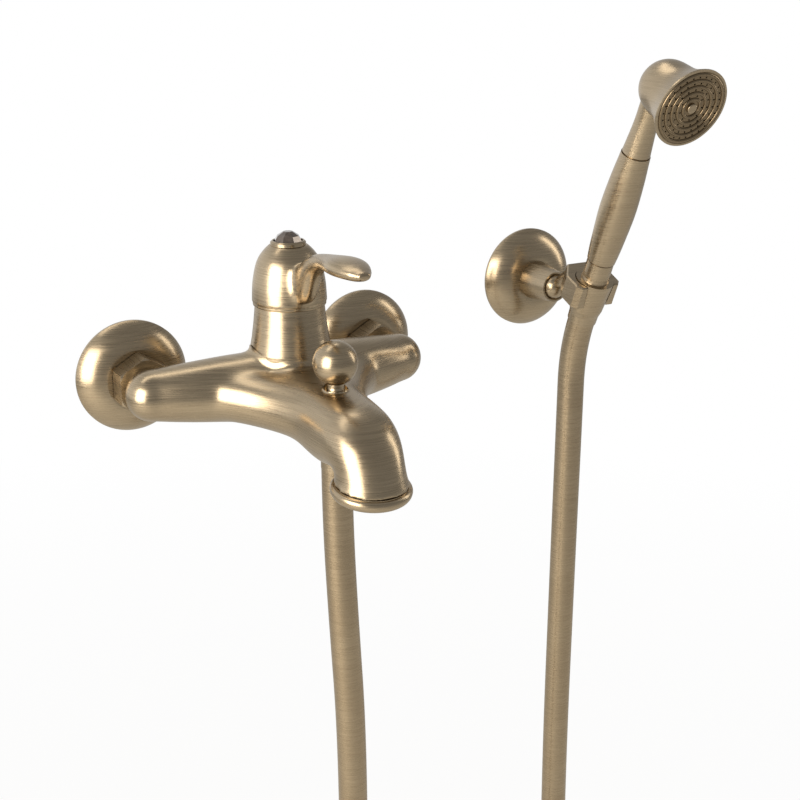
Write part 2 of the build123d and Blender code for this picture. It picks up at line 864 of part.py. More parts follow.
with BuildPart() as aerator_screen:
    with BuildSketch(mouth_base.offset(aerator_seat + aerator_flange - screen_thickness)):
        Circle(screen_r)
        with GridLocations(screen_pitch, screen_pitch, screen_rows, screen_rows):
            RegularPolygon(screen_hole_r, crystal_sides, mode=Mode.SUBTRACT)
    extrude(amount=screen_thickness)
aerator_screen.part.label = "aerator_screen"

inlet_parts = []
for side, word in ((-1, "left"), (1, "right")):
    inlet_centre = Vector(side * half_spacing, 0, 0)
    inlet_plane = lathe_plane(inlet_centre, out_dir, (1, 0, 0))
    inlet_axis = Axis(inlet_centre, out_dir)

    with BuildPart() as wall_union:
        add(
            outline(
                inlet_plane,
                (
                    (union_bore_r, -wall_thread_length),
                    (wall_thread_r, -wall_thread_length),
                    (wall_thread_r, union_collar_start),
                    (union_collar_r, union_collar_start),
                    (union_collar_r, union_collar_end),
                    (union_thread_r, union_collar_end),
                    (union_thread_r, union_end),
                    (union_bore_r, union_end),
                ),
            )
        )
        revolve(axis=inlet_axis)
    wall_union.part.label = word + "_wall_union"

    with BuildPart() as wall_flange:
        add(
            curved_outline(
                inlet_plane,
                (
                    (flange_r, flange_rim),
                    (flange_r * 0.93, flange_depth * 0.42),
                    (flange_r * 0.77, flange_depth * 0.79),
                    (flange_front_r, flange_depth),
                ),
                (
                    (union_thread_r + running_gap, flange_depth),
                    (union_thread_r + running_gap, flange_depth - flange_wall),
                    (flange_front_r - flange_wall / 2, flange_depth - flange_wall),
                    (flange_r * 0.77 - flange_wall, flange_depth * 0.79 - flange_wall),
                    (flange_r * 0.93 - flange_wall, flange_depth * 0.42 - flange_wall / 2),
                    (flange_r - flange_wall, 0),
                    (flange_r, 0),
                ),
            )
        )
        revolve(axis=inlet_axis)
    wall_flange.part.label = word + "_flange"

    with BuildPart() as inlet_washer:
        with BuildSketch(Plane(inlet_centre + out_dir * union_end, z_dir=out_dir)):
            Circle(nipple_flange_r)
            Circle(union_bore_r, mode=Mode.SUBTRACT)
        extrude(amount=inlet_washer_thickness)
    inlet_washer.part.label = word + "_inlet_washer"

    with BuildPart() as union_nut:
        with BuildSketch(Plane(inlet_centre + out_dir * nut_start, x_dir=(0, 0, 1), z_dir=out_dir)):
            RegularPolygon(nut_across_flats / 2, 6, major_radius=False)
        extrude(amount=nut_end - nut_start)
        # Corners turned off at both ends
        nut_corner_r = nut_across_flats / sqrt(3)
        add(
            outline(
                inlet_plane,
                (
                    (0, nut_start),
                    (nut_corner_r - nut_chamfer, nut_start),
                    (nut_corner_r, nut_start + nut_chamfer / 2),
                    (nut_corner_r, nut_end - nut_chamfer / 2),
                    (nut_corner_r - nut_chamfer, nut_end),
                    (0, nut_end),
                ),
            )
        )
        revolve(axis=inlet_axis, mode=Mode.INTERSECT)
        with BuildSketch(Plane(inlet_centre + out_dir * nut_start, z_dir=out_dir)):
            Circle(union_thread_r + running_gap)
        extrude(amount=nipple_shoulder - nut_start, mode=Mode.SUBTRACT)
        with BuildSketch(Plane(inlet_centre + out_dir * nut_start, z_dir=out_dir)):
            Circle(nipple_r + slip_gap)
        extrude(amount=nut_end - nut_start, mode=Mode.SUBTRACT)
    union_nut.part.label = word + "_union_nut"
    inlet_parts += [wall_union.part, wall_flange.part, inlet_washer.part, union_nut.part]

holder_centre = Vector(holder_x, 0, holder_z)
holder_plane = lathe_plane(holder_centre, out_dir, (1, 0, 0))
holder_axis = Axis(holder_centre, out_dir)
ball_centre = holder_centre + out_dir * ball_depth
socket_r = ball_r + ball_gap

with BuildPart() as holder_bracket:
    with BuildSketch(Plane(holder_centre, x_dir=(1, 0, 0), z_dir=out_dir)):
        Circle(bracket_r)
        with GridLocations(wall_hole_spacing, 0, 2, 1):
            Circle(wall_hole_r, mode=Mode.SUBTRACT)
    extrude(amount=bracket_thickness)
    with BuildSketch(Plane(holder_centre, x_dir=(1, 0, 0), z_dir=out_dir)):
        Circle(bracket_boss_r)
    extrude(amount=bracket_boss_length)
holder_bracket.part.label = "holder_bracket"

with BuildPart() as holder_flange:
    add(
        curved_outline(
            holder_plane,
            (
                (holder_flange_r, holder_flange_rim),
                (holder_flange_r * 0.92, holder_flange_depth * 0.43),
                (holder_flange_r * 0.74, holder_flange_depth * 0.80),
                (holder_flange_front_r, holder_flange_depth),
            ),
            (
                (bracket_boss_r + slip_gap, holder_flange_depth),
                (bracket_boss_r + slip_gap, holder_flange_depth - holder_flange_wall),
                (holder_flange_front_r, holder_flange_depth - holder_flange_wall),
                (
                    holder_flange_r * 0.74 - holder_flange_wall,
                    holder_flange_depth * 0.80 - holder_flange_wall,
                ),
                (
                    holder_flange_r * 0.92 - holder_flange_wall,
                    holder_flange_depth * 0.43 - holder_flange_wall / 2,
                ),
                (holder_flange_r - holder_flange_wall, 0),
                (holder_flange_r, 0),
            ),
        )
    )
    revolve(axis=holder_axis)
holder_flange.part.label = "holder_flange"

mouth_reach = sqrt(socket_r**2 - (collar_end - ball_depth) ** 2)
collar_bore_r = bracket_boss_r + running_gap
with BuildPart() as holder_collar:
    add(
        outline(
            holder_plane,
            (
                (0, holder_flange_depth),
                (collar_base_r, holder_flange_depth),
                (collar_end_r, collar_end),
                (0, collar_end),
            ),
        )
    )
    revolve(axis=holder_axis)
    with BuildSketch(Plane(holder_centre, z_dir=out_dir)):
        Circle(collar_bore_r)
    extrude(amount=bracket_boss_length + seat_length, mode=Mode.SUBTRACT)
    with Locations(ball_centre):
        Sphere(socket_r, mode=Mode.SUBTRACT)
    # Flared mouth, room for the fork's stem
    add(
        outline(
            holder_plane,
            (
                (0, collar_end - collar_lead),
                (mouth_reach, collar_end - collar_lead),
                (mouth_reach + collar_lead, collar_end),
                (0, collar_end),
            ),
        )
    )
    revolve(axis=holder_axis, mode=Mode.SUBTRACT)
holder_collar.part.label = "holder_collar"

with BuildPart() as ball_seat:
    with BuildSketch(Plane(holder_centre + out_dir * bracket_boss_length, z_dir=out_dir)):
        Circle(bracket_boss_r)
    extrude(amount=seat_length)
    with Locations(ball_centre):
        Sphere(socket_r, mode=Mode.SUBTRACT)
ball_seat.part.label = "ball_seat"

with BuildPart() as holder_ball:
    with Locations(ball_centre):
        Sphere(ball_r)
holder_ball.part.label = "holder_ball"

fork_mid_t = (fork_top_t + fork_bottom_t) / 2
fork_centre = handset_origin + handset_dir * fork_mid_t
fork_height = fork_top_t - fork_bottom_t
stem_target = fork_centre + face_back * fork_plan[-1][1]
stem_dir = (stem_target - ball_centre).normalized()
stem_plane = Plane(origin=ball_centre, x_dir=(1, 0, 0), z_dir=stem_dir)
stem_length = (stem_target - ball_centre).length
with BuildPart() as holder_fork:
    with BuildSketch(handset_base.offset(fork_bottom_t)):
        with BuildLine():
            Polyline(*fork_plan, *[(-across, back) for across, back in reversed(fork_plan)], close=True)
        make_face()
    extrude(amount=fork_height)
    chamfer(holder_fork.edges().group_by(handset_axis)[-1], fork_chamfer)
    chamfer(holder_fork.edges().group_by(handset_axis)[0], fork_chamfer)
    with BuildSketch(stem_plane):
        Circle(fork_stem_r)
    with BuildSketch(stem_plane.offset(stem_length + overrun)):
        Circle(fork_stem_root_r)
    loft()
    with BuildSketch(handset_base.offset(fork_bottom_t)):
        Circle(fork_hole_bottom_r)
    with BuildSketch(handset_base.offset(fork_top_t)):
        Circle(fork_hole_top_r)
    loft(mode=Mode.SUBTRACT)
    with Locations(ball_centre):
        Sphere(socket_r, mode=Mode.SUBTRACT)
holder_fork.part.label = "holder_fork"

with BuildPart() as hose_cone:
    add(
        outline(
            handset_plane,
            (
                *cone_outer,
                (cone_tail_r, cone_end_t),
                (cone_tail_r, cone_thread_end_t),
                (cone_thread_r + running_gap, cone_thread_end_t),
                (cone_thread_r + running_gap, cone_top_t),
            ),
        )
    )
    revolve(axis=handset_axis)
hose_cone.part.label = "hose_cone"

washer_top_t = cone_thread_end_t + cone_washer_thickness
with BuildPart() as cone_washer:
    with BuildSketch(handset_base.offset(cone_thread_end_t)):
        Circle(cone_thread_r - slip_gap)
        Circle(spigot_bore_r, mode=Mode.SUBTRACT)
    extrude(amount=cone_washer_thickness)
cone_washer.part.label = "cone_washer"

with BuildPart() as handset_ferrule:
    add(
        outline(
            handset_plane,
            (
                (spigot_bore_r, washer_top_t),
                (cone_thread_r, washer_top_t),
                (cone_thread_r, cone_top_t),
                *ferrule_outer,
                (groove_r, 0),
                (groove_r, groove_width),
                (spigot_top_r, groove_width),
                (spigot_top_r, ferrule_spigot_t),
                (tube_r + running_gap, ferrule_spigot_t),
                (tube_r + running_gap, tube_start_t),
                (spigot_bore_r, tube_start_t),
            ),
        )
    )
    revolve(axis=handset_axis)
handset_ferrule.part.label = "handset_ferrule"

grip_bore_r = spigot_top_r + running_gap
with BuildPart() as handset_grip:
    add(
        curved_outline(
            handset_plane,
            grip_outer,
            ((grip_bore_r, grip_end_t), (grip_bore_r, groove_width)),
        )
    )
    revolve(axis=handset_axis)
handset_grip.part.label = "handset_grip"

neck_end_r, neck_end_t = neck_outer[-1]
neck_tail_t = neck_end_t + neck_tail
with BuildPart() as handset_neck:
    add(
        curved_outline(
            handset_plane,
            neck_outer,
            (
                (neck_tail_r, neck_end_t),
                (neck_tail_r, neck_tail_t),
                (tube_r + running_gap, neck_tail_t),
                (tube_r + running_gap, neck_spigot_t),
                (spigot_top_r, neck_spigot_t),
                (spigot_top_r, grip_end_t),
                (groove_r, grip_end_t),
                (groove_r, neck_start_t),
            ),
        )
    )
    revolve(axis=handset_axis)
handset_neck.part.label = "handset_neck"

with BuildPart() as handset_tube:
    with BuildSketch(handset_base.offset(tube_start_t)):
        Circle(tube_r)
        Circle(tube_bore_r, mode=Mode.SUBTRACT)
    extrude(amount=neck_tail_t - tube_start_t)
handset_tube.part.label = "handset_tube"

seal_seat = plate_seat + seal_thickness
with BuildPart() as handset_head:
    add(
        curved_outline(
            face_plane,
            (*head_outer, (0, head_depth)),
            ((0, 0), (head_rim_r, 0)),
        )
    )
    revolve(axis=face_axis)
    # Boss that takes the neck
    with BuildSketch(handset_base.offset(neck_end_t)):
        Circle(head_boss_r)
    extrude(amount=neck_tail + socket_lip)
    add(
        curved_outline(
            face_plane,
            head_inner,
            ((0, head_inner[-1][1]), (0, seal_seat)),
        )
    )
    revolve(axis=face_axis, mode=Mode.SUBTRACT)
    with BuildSketch(face_base):
        Circle(head_mouth_r)
    extrude(amount=seal_seat, mode=Mode.SUBTRACT)
    with BuildSketch(face_base.offset(plate_seat)):
        Circle(post_r)
    extrude(amount=head_inner[-1][1] - plate_seat)
    with BuildSketch(face_base.offset(plate_seat)):
        Circle(button_shank_r + running_gap)
    extrude(amount=button_shank_end, mode=Mode.SUBTRACT)
    with BuildSketch(handset_base.offset(neck_end_t)):
        Circle(neck_tail_r + running_gap)
    extrude(amount=neck_tail + running_gap, mode=Mode.SUBTRACT)
    with BuildSketch(handset_base.offset(neck_end_t)):
        Circle(tube_bore_r)
    extrude(amount=2 * neck_tail, mode=Mode.SUBTRACT)
handset_head.part.label = "handset_head"

plate_r = head_mouth_r - running_gap
with BuildPart() as spray_plate:
    with BuildSketch(face_base.offset(plate_seat - plate_thickness)):
        Circle(plate_r)
    extrude(amount=plate_thickness)
    # Raised rings
    for share in ridge_shares:
        with BuildSketch(face_plane):
            with Locations((plate_r * share, plate_seat - plate_thickness + ridge_sink)):
                Circle(ridge_r)
        revolve(axis=face_axis)
    # Nozzle holes between the rings
    with BuildSketch(face_base.offset(-ridge_r)):
        Circle(button_shank_r + running_gap)
        for share, count in spray_hole_rows:
            with PolarLocations(plate_r * share, count):
                RegularPolygon(spray_hole_r, crystal_sides)
    extrude(amount=plate_seat + 2 * ridge_r, mode=Mode.SUBTRACT)
spray_plate.part.label = "spray_plate"

with BuildPart() as head_seal:
    with BuildSketch(face_base.offset(plate_seat)):
        Circle(plate_r)
        Circle(head_inner[0][0], mode=Mode.SUBTRACT)
    extrude(amount=seal_thickness)
head_seal.part.label = "head_seal"

with BuildPart() as spray_button:
    plate_front = plate_seat - plate_thickness
    with BuildSketch(face_base.offset(plate_front)):
        Circle(button_r)
    extrude(amount=-button_height)
    fillet(spray_button.edges().filter_by(GeomType.CIRCLE).sort_by(face_axis)[0], button_height / 2)
    with BuildSketch(face_base.offset(plate_front)):
        Circle(button_shank_r)
    extrude(amount=button_shank_end)
spray_button.part.label = "spray_button"

# Hose: down from the mixer, round and up to the cone under the hand shower
cone_end = handset_origin + handset_dir * cone_end_t
hose_start = Vector(0, -diverter_y, hose_start_z)

hose_points = [hose_start]
for along, out, below in (*hose_left_route, hose_low_point, *hose_right_route):
    hose_points.append(Vector(along, -out, -below))
hose_points.append(cone_end - handset_dir * hose_last_run)
hose_points.append(cone_end)
hose_radii = []
for before, corner, after in zip(hose_points, hose_points[1:], hose_points[2:]):
    run_in = corner - before
    run_out = after - corner
    turn = radians(run_in.get_angle(run_out))
    shorter = min(run_in.length, run_out.length)
    hose_radii.append(fillet_share * shorter / tan(turn / 2))
    print("hose run", round(run_in.length, 1), "turn", round(degrees(turn), 1), "radius", round(hose_radii[-1]))

with BuildPart() as shower_hose:
    with BuildLine() as hose_path:
        FilletPolyline(*hose_points, radius=hose_radii)
    with BuildSketch(Plane(origin=hose_start, z_dir=(0, 0, -1))):
        Circle(hose_r)
    sweep(path=hose_path.line)
hose_run = hose_path.wires()[0].length
shower_hose.part.label = "shower_hose"
hose_volume_share = shower_hose.part.volume / (pi * hose_r**2 * hose_run)
print("hose length", round(hose_run, 1), "volume share", round(hose_volume_share, 4))

all_parts = [
    mixer_body.part,
    column.part,
    cartridge_gasket.part,
    cartridge_housing.part,
    fixed_disc.part,
    moving_disc.part,
    cartridge_guide.part,
    pivot_pin.part,
    clamp_nut.part,
    lever_stem.part,
    lever_cap.part,
    finial_bezel.part,
    crystal_finial.part,
    diverter_knob.part,
    diverter_rod.part,
    diverter_washer.part,
    diverter_bush.part,
    hose_nipple.part,
    hose_ferrule.part,
    outlet_ring.part,
    aerator_body.part,
    aerator_screen.part,
    *inlet_parts,
    holder_bracket.part,
    holder_flange.part,
    holder_collar.part,
    ball_seat.part,
    holder_ball.part,
    holder_fork.part,
    hose_cone.part,
    cone_washer.part,
    handset_ferrule.part,
    handset_grip.part,
    handset_neck.part,
    handset_tube.part,
    handset_head.part,
    spray_plate.part,
    head_seal.part,
    spray_button.part,
    shower_hose.part,
]
for piece in all_parts:
    export_step(piece, "parts/" + piece.label + ".step")
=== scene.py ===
# %% [markdown]
# A bath mixer with a hand shower, dressed in brushed bronze.
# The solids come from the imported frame. This script adds the camera, the hose,
# the soft blends of the casting and the lever, the finishes and the light.

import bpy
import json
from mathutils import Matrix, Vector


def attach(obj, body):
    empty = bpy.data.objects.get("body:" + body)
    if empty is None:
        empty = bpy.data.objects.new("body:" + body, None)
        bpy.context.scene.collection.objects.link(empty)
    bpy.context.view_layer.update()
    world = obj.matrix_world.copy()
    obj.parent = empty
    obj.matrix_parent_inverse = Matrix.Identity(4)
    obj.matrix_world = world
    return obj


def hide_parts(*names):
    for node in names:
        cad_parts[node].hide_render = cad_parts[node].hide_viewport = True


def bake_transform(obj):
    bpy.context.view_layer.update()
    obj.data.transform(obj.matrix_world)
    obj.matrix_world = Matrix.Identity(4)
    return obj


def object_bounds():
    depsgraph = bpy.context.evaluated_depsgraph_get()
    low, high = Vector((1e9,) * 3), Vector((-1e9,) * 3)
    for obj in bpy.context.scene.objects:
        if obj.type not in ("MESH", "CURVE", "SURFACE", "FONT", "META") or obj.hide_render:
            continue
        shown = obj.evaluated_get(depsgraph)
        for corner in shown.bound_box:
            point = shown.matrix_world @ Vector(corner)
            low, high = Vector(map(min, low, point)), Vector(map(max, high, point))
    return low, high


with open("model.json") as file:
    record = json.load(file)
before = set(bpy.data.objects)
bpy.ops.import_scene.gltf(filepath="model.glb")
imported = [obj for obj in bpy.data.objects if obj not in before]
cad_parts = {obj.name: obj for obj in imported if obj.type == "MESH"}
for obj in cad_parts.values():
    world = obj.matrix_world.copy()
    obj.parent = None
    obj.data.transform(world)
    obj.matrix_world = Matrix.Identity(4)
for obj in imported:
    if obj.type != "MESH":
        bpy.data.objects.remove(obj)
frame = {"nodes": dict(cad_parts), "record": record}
cad_box = [list(corner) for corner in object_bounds()]

# %% [markdown]
# The frame is loaded before anything else, so that its solids are there to be
# measured. Blender counts in metres and the mixer's drawings in millimetres, so
# one value, MM, turns a size from the drawings into Blender's.

# %% Modules and the CAD box
import json
from math import cos, pi, radians, sin

import bmesh
import bpy
import numpy as np
from mathutils import Vector

MM = 0.001
solids = frame["nodes"]
print("CAD nodes", len(solids), "box", cad_box)

# %% [markdown]
# The camera stands left of the mixer and a little above it, as in the product
# picture: 63 mm lens, looking 18 degrees down and 29 degrees to the right.
# It comes first because the hose is judged by what this camera sees.

# %% Camera
SENSOR_MM = 36.0
LENS_MM = 63.0
NEAREST = 0.01
CAMERA_PLACE = (-0.31152, -0.75667, 0.24185)
LOOK_DOWN = 18.31
LOOK_RIGHT = 28.72

camera_data = bpy.data.cameras.new("camera")
camera_data.sensor_width = SENSOR_MM
camera_data.lens = LENS_MM
camera_data.clip_start = NEAREST
camera = bpy.data.objects.new("camera", camera_data)
bpy.context.collection.objects.link(camera)
camera.location = CAMERA_PLACE
camera.rotation_euler = (radians(90 - LOOK_DOWN), 0, radians(-LOOK_RIGHT))
bpy.context.scene.camera = camera
print("camera at", CAMERA_PLACE, "with a", LENS_MM, "mm lens")

# %% [markdown]
# The shower hose is a plain metal tube of 17 mm, 1.25 m long. It hangs from the
# spout in one loop and comes up into the cone under the hand shower.
# A hanging hose has no corner, so its route is a NURBS curve, with the same
# points as the solid's route. Blender reads the curve in uneven steps, and the
# line that the tube follows is read from those again, every 3 mm.

# %% Route of the hose
# From the outlet under the spout, round the bottom loop and up, in millimetres
hose_route = [
    (0.0, -116.8, -31.4),
    (0.0, -116.8, -58.0),
    (1.8, -117.5, -112.0),
    (7.6, -117.5, -211.0),
    (8.0, -114.0, -388.0),
    (4.0, -105.0, -534.2),
    (100.0, -84.0, -589.6),
    (196.0, -64.0, -534.2),
    (196.6, -55.4, -325.0),
    (197.8, -54.9, -147.0),
    (198.15, -55.3, -54.6),
]
# The route's end follows the lean of the hand shower, from the cone's groove down
lean = radians(22.66)
groove = np.array((198.15, -81.4, 54.4))
GROOVE_TO_CONE_END = 44.0
LAST_RUN = 23.0
handset_axis = np.array((0.0, -sin(lean), cos(lean)))
cone_end = groove - handset_axis * GROOVE_TO_CONE_END
hose_route.append(tuple(cone_end - handset_axis * LAST_RUN))
hose_route.append(tuple(cone_end))
HOSE_R = 8.5 * MM
HOSE_STEP = 3.0 * MM
CURVE_ORDER = 3
CURVE_STEPS = 24
SAME_POINT = 1e-7


def nurbs_points(route_mm, name):
    """Points along the NURBS curve that has these control points, in metres."""
    data = bpy.data.curves.new(name, "CURVE")
    data.dimensions = "3D"
    data.resolution_u = CURVE_STEPS
    spline = data.splines.new("NURBS")
    spline.points.add(len(route_mm) - 1)
    for point, place in zip(spline.points, route_mm):
        point.co = (*[c * MM for c in place], 1.0)
    spline.order_u = CURVE_ORDER
    spline.use_endpoint_u = True
    guide = bpy.data.objects.new(name, data)
    bpy.context.collection.objects.link(guide)
    bpy.context.view_layer.update()
    mesh = bpy.data.meshes.new_from_object(guide)
    points = np.array([v.co for v in mesh.vertices])
    bpy.data.objects.remove(guide)
    bpy.data.meshes.remove(mesh)
    return points


raw = nurbs_points(hose_route, "hose_guide")
steps = np.linalg.norm(np.diff(raw, axis=0), axis=1)
raw = raw[np.concatenate([[True], steps > SAME_POINT])]
steps = np.linalg.norm(np.diff(raw, axis=0), axis=1)
along = np.concatenate([[0.0], np.cumsum(steps)])
count = int(round(along[-1] / HOSE_STEP))
marks = np.linspace(0, along[-1], count + 1)
hose_line = np.stack([np.interp(marks, along, raw[:, k]) for k in range(3)], axis=1)
print("hose line", len(hose_line), "points, length", round(along[-1], 4), "m")

# %% [markdown]
# A bevelled curve would give the same tube, but the hose has to be cut into
# stretches whose ends meet point for point. So the tube is a list of rings, each
# square to the line, and any stretch of them can be skinned. Each ring starts at
# the side where the last one started, which keeps the tube from twisting.


# %% Tube along a line
TUBE_SIDES = 32


def new_object(name, mesh):
    """An object in the scene, made from this mesh."""
    piece = bpy.data.objects.new(name, mesh)
    bpy.context.collection.objects.link(piece)
    return piece


def ring_points(line, radius):
    """Rings of points round a line, turned as little as possible on the way."""
    tangents = np.gradient(line, axis=0)
    tangents /= np.linalg.norm(tangents, axis=1)[:, None]
    side_dir = np.array((0.0, 1.0, 0.0))
    angles = np.linspace(0, 2 * pi, TUBE_SIDES, endpoint=False)
    rings = []
    for centre, tangent in zip(line, tangents):
        side_dir = side_dir - tangent * side_dir.dot(tangent)
        side_dir /= np.linalg.norm(side_dir)
        other = np.cross(tangent, side_dir)
        spokes = np.outer(np.cos(angles), side_dir) + np.outer(np.sin(angles), other)
        rings.append(centre + radius * spokes)
    return rings


def tube_mesh(name, rings):
    """A tube through rings of points. Its end discs keep their own corners."""
    mesh = bpy.data.meshes.new(name)
    work = bmesh.new()
    loops = [[work.verts.new(p) for p in ring] for ring in rings]
    for low, high in zip(loops, loops[1:]):
        for k in range(TUBE_SIDES):
            n = (k + 1) % TUBE_SIDES
            work.faces.new((low[k], low[n], high[n], high[k])).smooth = True
    work.faces.new([work.verts.new(p) for p in rings[0]])
    work.faces.new([work.verts.new(p) for p in rings[-1][::-1]])
    bmesh.ops.recalc_face_normals(work, faces=work.faces)
    work.to_mesh(mesh)
    work.free()
    return mesh


hose_rings = ring_points(hose_line, HOSE_R)
print("hose rings", len(hose_rings), "of", TUBE_SIDES, "points")

# %% [markdown]
# The hose is one tube, but its upper end is moved three times over: the holder
# turns on the wall, tilts, and the cone lifts out of the fork. So it is laid in
# four stretches. The lowest is attached to the mixer, and the other three are
# only laid in place, each between two of the moving parts.

# %% Four stretches of the hose
# Heights, in metres, at which the hose goes from one stretch to the next
SWING_START = -0.545
TILT_START = -0.43
TOP_START = -0.15
# Only the leg that goes up to the cone lies farther right than this, in metres
LEG_X = 0.15


def leg_index(z):
    """Index of the hose point at a height on the way up to the cone."""
    rising = [i for i, point in enumerate(hose_line) if point[0] > LEG_X]
    return min(rising, key=lambda i: abs(hose_line[i][2] - z))


cuts = [0, leg_index(SWING_START), leg_index(TILT_START), leg_index(TOP_START), len(hose_line) - 1]
hose_names = ["hose_lower_run", "hose_swing_run", "hose_tilt_run", "hose_top_run"]
hose_bodies = [None, ("mixer", "holder_pivot"), ("holder_pivot", "fork"), ("fork", "hose_end")]
hose_pieces = []
for name, first, final, bodies in zip(hose_names, cuts, cuts[1:], hose_bodies):
    piece = new_object(name, tube_mesh(name, hose_rings[first : final + 1]))
    if bodies is None:
        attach(piece, "mixer")
        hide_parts("shower_hose")
    else:
        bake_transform(piece)
    hose_pieces.append(piece)

# %% [markdown]
# Colours are written as sRGB hex values, the way a paint chart gives them.
# Blender's shaders work in linear light, so one function turns them over, and
# one small function adds any shader node with its settings and its links.


# %% Colour and node helpers
def linear(hex_colour):
    """Linear RGBA of an sRGB hex value such as #9a8263."""
    red, green, blue = [
        share / 12.92 if share <= 0.04045 else ((share + 0.055) / 1.055) ** 2.4
        for share in (int(hex_colour[i : i + 2], 16) / 255 for i in (1, 3, 5))
    ]
    return (red, green, blue, 1.0)


def add(tree, kind, links=None, values=None, **settings):
    """Adds a node, sets its properties and sockets, and links its inputs."""
    made = tree.nodes.new(kind)
    for key, value in settings.items():
        setattr(made, key, value)
    for key, value in (values or {}).items():
        made.inputs[key].default_value = value
    for key, source in (links or {}).items():
        tree.links.new(source, made.inputs[key])
    return made


def new_material(name):
    """A new material, with its node tree, its shader and object coordinates."""
    material = bpy.data.materials.new(name)
    material.use_nodes = True
    tree = material.node_tree
    tree.nodes.clear()
    output = add(tree, "ShaderNodeOutputMaterial")
    shader = add(tree, "ShaderNodeBsdfPrincipled")
    tree.links.new(shader.outputs["BSDF"], output.inputs["Surface"])
    place = add(tree, "ShaderNodeTexCoord").outputs["Object"]
    return material, tree, shader, place


# %% [markdown]
# Antique bronze is brass that was darkened, brushed with a fine wire wheel and
# lacquered. The eye sees fine level scratches, a soft wide highlight and a
# colour that drifts between straw and brown where more of the dark was left.
# The scratches are noise drawn out to 24 mm long and 0.55 mm apart, and shorter
# on the spray plate and the hose. Real ones are near 0.1 mm apart, too fine to
# show in this picture, so they are drawn as coarse as they need to be.


# %% Brushed antique bronze
PATCH_SIZE = 28.0
BROWN_SHARE = 0.5
LINE_STRENGTH = 0.4
# How far the scratches take the roughness down and up
SMOOTHER = 0.04
ROUGHER = 0.05


def brushed_metal(name, dark, light, brown, rough, line_gap=0.55, line_length=24.0, depth=0.01):
    """Brushed metal: dark and light of the scratches, brown of the patina."""
    material, tree, shader, place = new_material(name)
    shader.inputs["Metallic"].default_value = 1.0
    stretch = add(
        tree,
        "ShaderNodeMapping",
        {"Vector": place},
        {"Scale": (1 / (line_length * MM), 1 / (line_length * MM), 1 / (line_gap * MM))},
    )
    scratches = add(
        tree,
        "ShaderNodeTexNoise",
        {"Vector": stretch.outputs["Vector"]},
        {"Scale": 1.0, "Detail": 3.0, "Roughness": 0.6},
    )
    patches = add(
        tree,
        "ShaderNodeTexNoise",
        {"Vector": place},
        {"Scale": 1 / (PATCH_SIZE * MM), "Detail": 2.0},
    )
    line_colour = add(tree, "ShaderNodeMix", {"Factor": scratches.outputs["Fac"]}, data_type="RGBA")
    line_colour.inputs["A"].default_value = linear(dark)
    line_colour.inputs["B"].default_value = linear(light)
    share = add(
        tree,
        "ShaderNodeMapRange",
        {"Value": patches.outputs["Fac"]},
        {"From Min": 0.35, "From Max": 0.75, "To Min": 0.0, "To Max": BROWN_SHARE},
    )
    colour = add(
        tree,
        "ShaderNodeMix",
        {"Factor": share.outputs["Result"], "A": line_colour.outputs["Result"]},
        data_type="RGBA",
    )
    colour.inputs["B"].default_value = linear(brown)
    tree.links.new(colour.outputs["Result"], shader.inputs["Base Color"])
    roughness = add(
        tree,
        "ShaderNodeMapRange",
        {"Value": scratches.outputs["Fac"]},
        {"From Min": 0.3, "From Max": 0.7, "To Min": rough - SMOOTHER, "To Max": rough + ROUGHER},
    )
    tree.links.new(roughness.outputs["Result"], shader.inputs["Roughness"])
    relief = add(
        tree,
        "ShaderNodeBump",
        {"Height": scratches.outputs["Fac"]},
        {"Strength": LINE_STRENGTH, "Distance": depth * MM},
    )
    tree.links.new(relief.outputs["Normal"], shader.inputs["Normal"])
    return material


# Cast and turned parts: straw with brown drifts, and a soft wide shine
bronze = brushed_metal("antique_bronze_brushed", "#8f806a", "#cab99d", "#a19078", rough=0.28)
# The turned spray plate: darker and smoother, as less of the dark came off
turned_bronze = brushed_metal(
    "antique_bronze_turned", "#7b6c55", "#98876e", "#83725b", rough=0.25, line_gap=0.6, line_length=9.0
)
# The hose: the same metal with deeper, shorter scratches, which dull its shine
hose_bronze = brushed_metal(
    "antique_bronze_hose",
    "#8c7c65",
    "#c4b296",
    "#9f8d74",
    rough=0.28,
    line_gap=0.7,
    line_length=12.0,
    depth=0.016,
)
print("bronze finishes made")

# %% [markdown]
# The parts inside have no decor finish: turned brass, zinc-plated steel, moulded
# nylon and rubber, and lapped ceramic. They show from behind and through the
# openings. Each has two near colours mixed by a fine grain, which also makes
# its shine uneven, as no real surface is quite even.


# %% Inner finishes
GRAIN_SIZE = 4.0
GRAIN_DEPTH = 0.01
GRAIN_STRENGTH = 0.3
ROUGH_SPREAD = 0.05


